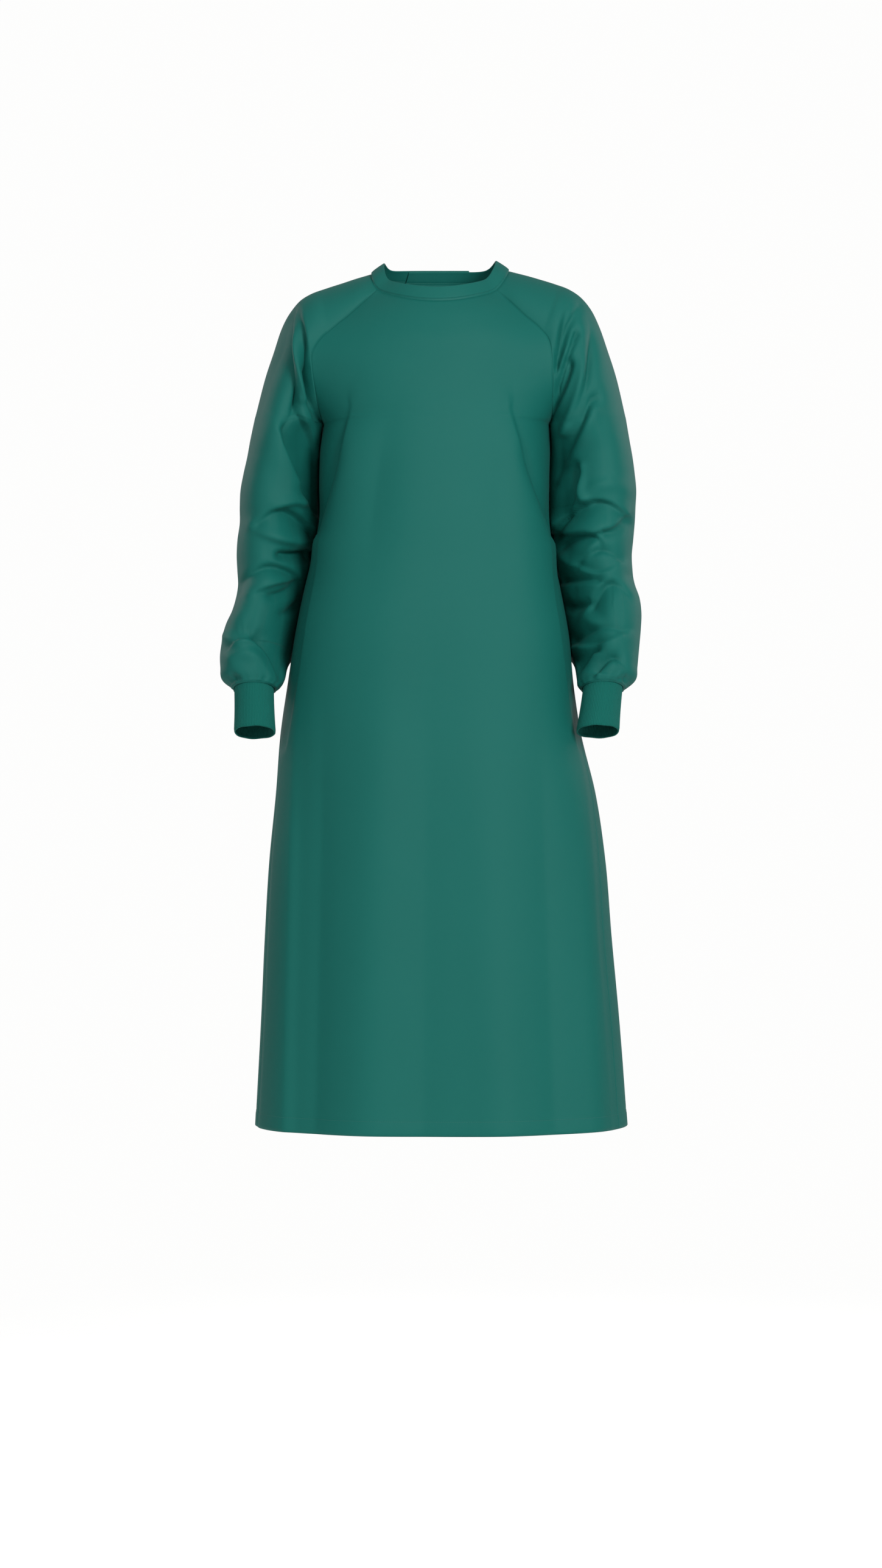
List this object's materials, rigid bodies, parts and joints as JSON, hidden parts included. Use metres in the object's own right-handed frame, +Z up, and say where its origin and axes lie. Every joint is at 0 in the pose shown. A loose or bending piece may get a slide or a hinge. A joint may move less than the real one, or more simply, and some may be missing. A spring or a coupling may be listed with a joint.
{
  "type": "surgical gown",
  "caption": "Hollow worn surgical gown: raglan sleeves with rib cuffs, round neck band, lapped tied back, flared skirt to mid-calf.",
  "frame": {"origin": "on the gown's centre line, level with the top of the neck band at the shoulders, in the plane of the shoulder line: where the wearer's shoulders and neck hold it up", "axes": "+Z up, the front faces -Y, +X to the right as seen from the front"},
  "size_m": [0.558, 0.3604, 1.1492],
  "materials": {
    "gown_cloth": "dark teal-green plain weave cotton and polyester, soft low sheen",
    "tie_tape": "dark teal-green flat folded tape of the gown's cloth",
    "rib_knit": "dark teal-green fine rib knit, matte"
  },
  "bodies": {
    "root": {"front": "gown_cloth", "back_left": "gown_cloth", "back_right": "gown_cloth", "sleeve_left": "gown_cloth", "sleeve_right": "gown_cloth", "neck_band": "gown_cloth", "neck_tie": "tie_tape", "waist_tie": "tie_tape", "cuff_left": "rib_knit", "cuff_right": "rib_knit"}
  },
  "joints": []
}
